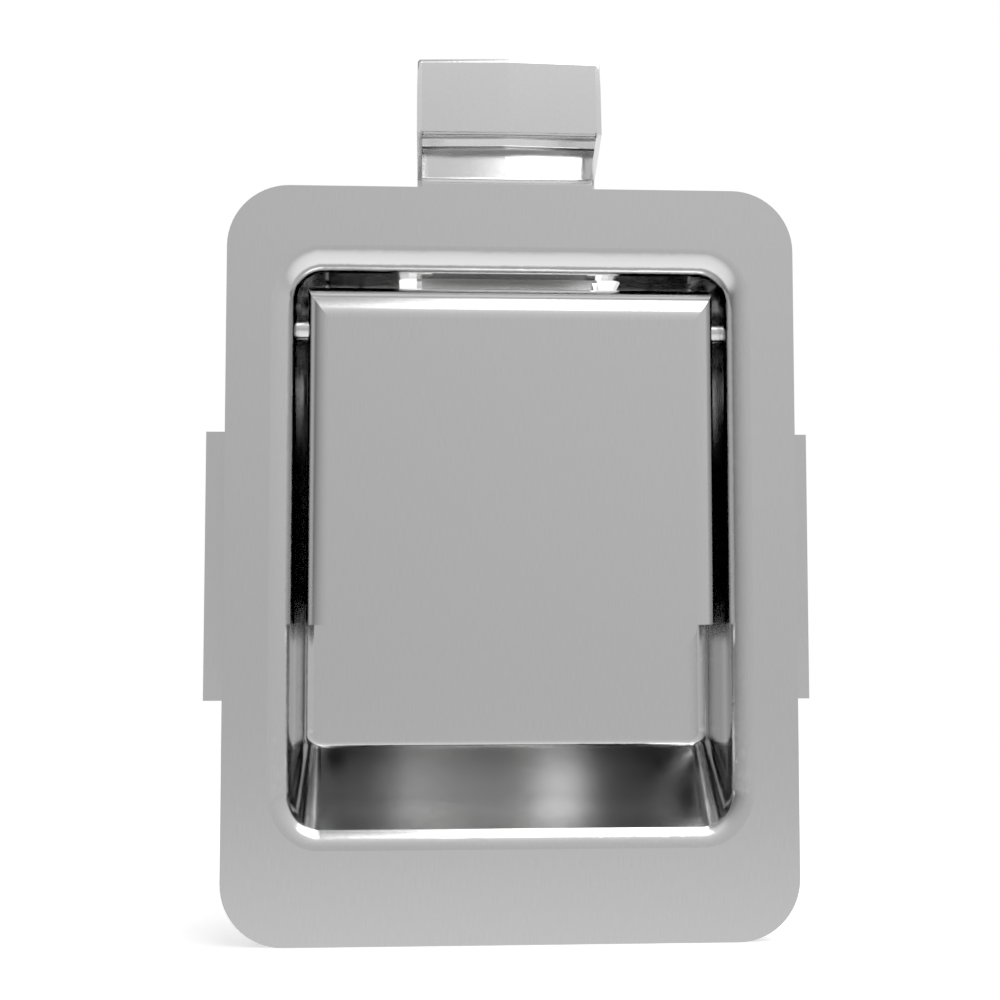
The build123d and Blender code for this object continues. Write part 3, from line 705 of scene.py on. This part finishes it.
def add_softbox(power):
    """An oblong lamp overhead that looks down, turned a little about the upright."""
    lamp = bpy.data.lights.new("overhead_softbox", "AREA")
    lamp.shape = "RECTANGLE"
    lamp.size, lamp.size_y = SOFTBOX_SIZE
    lamp.energy = power
    holder = bpy.data.objects.new("overhead_softbox", lamp)
    bpy.context.scene.collection.objects.link(holder)
    holder.location = SOFTBOX_PLACE
    holder.rotation_euler = (0, 0, SOFTBOX_TURN)


def add_camera(studio):
    """The camera, in front of the latch and close to it."""
    lens = bpy.data.cameras.new("studio_camera")
    lens.sensor_width = 36
    lens.lens = studio.lens
    lens.clip_start = 0.01
    holder = bpy.data.objects.new("studio_camera", lens)
    bpy.context.scene.collection.objects.link(holder)
    holder.location = studio.eye
    holder.rotation_euler = (radians(90) + studio.pitch, 0, -studio.yaw)
    bpy.context.scene.camera = holder


# ---- Properties ----

class LatchForms(bpy.types.PropertyGroup):
    """Sizes of the bolt's sheet and of the studs."""
    bolt_sheet: FloatProperty(
        name="Bolt Sheet", description="Thickness of the bolt's sheet", subtype="DISTANCE", unit="LENGTH",
        default=1.0 * MM, min=0.6 * MM, max=1.5 * MM)
    cam_rim: FloatProperty(
        name="Cam Rim", description="Width of the rim that is left round the cam's window",
        subtype="DISTANCE", unit="LENGTH", default=1.4 * MM, min=0.8 * MM, max=4 * MM)
    stud_diameter: FloatProperty(
        name="Stud", description="Outer diameter of the studs' thread", subtype="DISTANCE", unit="LENGTH",
        default=5 * MM, min=3 * MM, max=8 * MM)
    stud_pitch: FloatProperty(
        name="Pitch", description="Pitch of the studs' thread", subtype="DISTANCE", unit="LENGTH",
        default=0.8 * MM, min=0.4 * MM, max=1.5 * MM)


class LatchFinish(bpy.types.PropertyGroup):
    """Finishes of the latch."""
    sheet_tone: FloatVectorProperty(
        name="Sheet", description="Reflectance of the polished sheet", subtype="COLOR",
        default=(0.8, 0.8, 0.8), min=0, max=1)
    sheet_gloss: FloatProperty(
        name="Polish", description="Roughness of the polished sheet", default=0.06, min=0.02, max=0.6)
    # painted shade: share of the sheet's tone left on the dish's walls and ramp
    painted_shade_tone_share: FloatProperty(
        name="Painted Dish Shade", description="Share of the tone left under the painted shade on the dish's walls and ramp", default=0.76,
        min=0.3, max=1)
    bracket_tone: FloatVectorProperty(
        name="Bracket", description="Reflectance of the clamp bracket", subtype="COLOR",
        default=(0.78, 0.78, 0.78), min=0, max=1)
    spring_tone: FloatVectorProperty(
        name="Springs", description="Reflectance of drawn spring wire", subtype="COLOR",
        default=(0.55, 0.55, 0.56), min=0, max=1)
    brass_tone: FloatVectorProperty(
        name="Sleeves", description="Colour of the turned sleeves", subtype="COLOR",
        default=(0.72, 0.72, 0.7), min=0, max=1)
    rubber_tone: FloatVectorProperty(
        name="Buffers", description="Colour of the rubber buffers", subtype="COLOR",
        default=(0.02, 0.02, 0.021), min=0, max=1)
    gasket_tone: FloatVectorProperty(
        name="Gasket", description="Colour of the gasket's foam", subtype="COLOR",
        default=(0.62, 0.62, 0.61), min=0, max=1)


class LatchStudio(bpy.types.PropertyGroup):
    """Camera and light."""
    lens: FloatProperty(
        name="Lens", description="Focal length of the camera in millimetres", default=50, min=20, max=200)
    eye: FloatVectorProperty(
        name="Eye", description="Place of the camera", subtype="TRANSLATION", unit="LENGTH",
        default=(-0.0149, -0.2593, -0.0041))
    yaw: FloatProperty(
        name="Turn", description="How far the camera looks to the right", subtype="ANGLE",
        default=radians(2.806))
    pitch: FloatProperty(
        name="Tilt", description="How far the camera looks up", subtype="ANGLE", default=radians(3.412))
    surround: FloatProperty(
        name="Surround", description="Brightness that metal sees at eye level", default=0.52, min=0, max=1)
    overhead: FloatProperty(
        name="Overhead", description="Power of the overhead softbox", subtype="POWER", default=8, min=0)


# ---- Operators ----

class LATCH_OT_finishes(bpy.types.Operator):
    """Gives every solid of the latch its own finish"""
    bl_idname = "latch.finishes"
    bl_label = "Finishes"

    def execute(self, context):
        finish = context.scene.latch_finish
        polish = polish_group()
        skin = rubber_group()
        sheet = finish.sheet_tone
        limits = (finish.sheet_gloss * 0.8, finish.sheet_gloss * 1.3)
        # the pan's steel carries the painted shade inside its dish
        dress(steel("polished_pan", polish, sheet, limits, 0.25, finish.painted_shade_tone_share), "pan", "paddle")
        dress(steel("polished_bolt", polish, sheet, limits, 0.25), "bolt")
        dress(steel("bracket_satin", polish, finish.bracket_tone, (0.18, 0.28), 0.6), "clamp_bracket")
        dress(steel("ground_pin", polish, sheet, (0.06, 0.1), 0.2), "pivot_pin")
        wire = steel("spring_wire", polish, finish.spring_tone, (0.2, 0.32), 0.5)
        dress(wire, "bolt_spring", "paddle_spring_left", "paddle_spring_right", "pin_retaining_ring")
        fastener = steel("fastener_steel", polish, finish.bracket_tone, (0.16, 0.3), 0.5)
        dress(fastener, "pin_washers", "stud_washers", "stud_nuts", "weld_studs")
        brass = steel("turned_brass", polish, finish.brass_tone, (0.15, 0.25), 0.5)
        dress(brass, "spacer_sleeve_middle", "spacer_sleeve_left", "spacer_sleeve_right")
        dress(rubber("gasket_foam", skin, finish.gasket_tone, 1800, 0.2 * MM), "gasket")
        dress(rubber("buffer_rubber", skin, finish.rubber_tone, 2600, 0.05 * MM), "paddle_buffers")
        return {"FINISHED"}


class LATCH_OT_bolt(bpy.types.Operator):
    """Folds the bolt from sheet, with the open window in its cam"""
    bl_idname = "latch.bolt"
    bl_label = "Bolt"

    def execute(self, context):
        forms = context.scene.latch_forms
        sheet = forms.bolt_sheet
        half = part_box("bolt")[1][0]
        strip = bolt_strip(half - sheet, sheet, forms.cam_rim)
        cheeks = [bolt_cheek(side, half, sheet) for side in (-1, 1)]
        finish_piece(joined(strip, *cheeks), "folded_bolt", "bolt_body", "bolt")
        return {"FINISHED"}


class LATCH_OT_studs(bpy.types.Operator):
    """Turns the two welded studs with their thread"""
    bl_idname = "latch.studs"
    bl_label = "Threaded Studs"

    def execute(self, context):
        forms = context.scene.latch_forms
        pitch = forms.stud_pitch
        major = forms.stud_diameter / 2
        minor = major - THREAD_DEPTH * pitch
        low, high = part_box("weld_studs")
        flare = (high[2] - low[2]) / 2
        length = high[1] - low[1]
        run_in = THREAD_RUN_IN * pitch
        x = high[0] - flare
        z = (low[2] + high[2]) / 2
        place = (x, low[1], z)
        core = stud_core(place, length, minor, THREAD_DEPTH / 2 * pitch)
        foot = turned(place, flare - major, flare, major)
        shank = turned(place, run_in, major, major)
        turns = int((length - run_in) / pitch)
        thread = stud_thread((x, low[1] + run_in - pitch, z), minor, major, pitch, turns)
        stud = joined(core, foot, shank, thread)
        studs = joined(stud, moved_copy(stud, -2 * x))
        finish_piece(studs, "threaded_studs", "pan_body", "weld_studs")
        return {"FINISHED"}


class LATCH_OT_stage(bpy.types.Operator):
    """Sets up the floor, the light, the white surround and the camera"""
    bl_idname = "latch.stage"
    bl_label = "Stage"

    def execute(self, context):
        scene = context.scene
        studio = scene.latch_studio
        add_floor()
        scene.world = surround_world(studio.surround)
        add_softbox(studio.overhead)
        add_camera(studio)
        scene.view_settings.view_transform = "Standard"
        return {"FINISHED"}


class LATCH_PT_panel(bpy.types.Panel):
    """Lists the latch's values and operators"""
    bl_label = "Paddle Latch"
    bl_idname = "LATCH_PT_panel"
    bl_space_type = "VIEW_3D"
    bl_region_type = "UI"
    bl_category = "Latch"

    def draw(self, context):
        layout = self.layout
        scene = context.scene
        for group in (scene.latch_forms, scene.latch_finish, scene.latch_studio):
            box = layout.box()
            for name in group.__annotations__:
                box.prop(group, name)
        for operator in OPERATORS:
            layout.operator(operator.bl_idname)


GROUPS = (LatchForms, LatchFinish, LatchStudio)
OPERATORS = (LATCH_OT_finishes, LATCH_OT_bolt, LATCH_OT_studs, LATCH_OT_stage)
CLASSES = (*GROUPS, *OPERATORS, LATCH_PT_panel)


def register():
    """Registers the classes and hangs the property groups on the scene."""
    for cls in CLASSES:
        bpy.utils.register_class(cls)
    bpy.types.Scene.latch_forms = PointerProperty(type=LatchForms)
    bpy.types.Scene.latch_finish = PointerProperty(type=LatchFinish)
    bpy.types.Scene.latch_studio = PointerProperty(type=LatchStudio)


def unregister():
    """Takes the property groups off the scene and unregisters the classes."""
    del bpy.types.Scene.latch_studio
    del bpy.types.Scene.latch_finish
    del bpy.types.Scene.latch_forms
    for cls in reversed(CLASSES):
        bpy.utils.unregister_class(cls)


def main():
    """Dresses the latch from the first piece to the stage."""
    register()
    bpy.ops.latch.finishes()
    bpy.ops.latch.bolt()
    bpy.ops.latch.studs()
    bpy.ops.latch.stage()


if __name__ == "__main__":
    main()
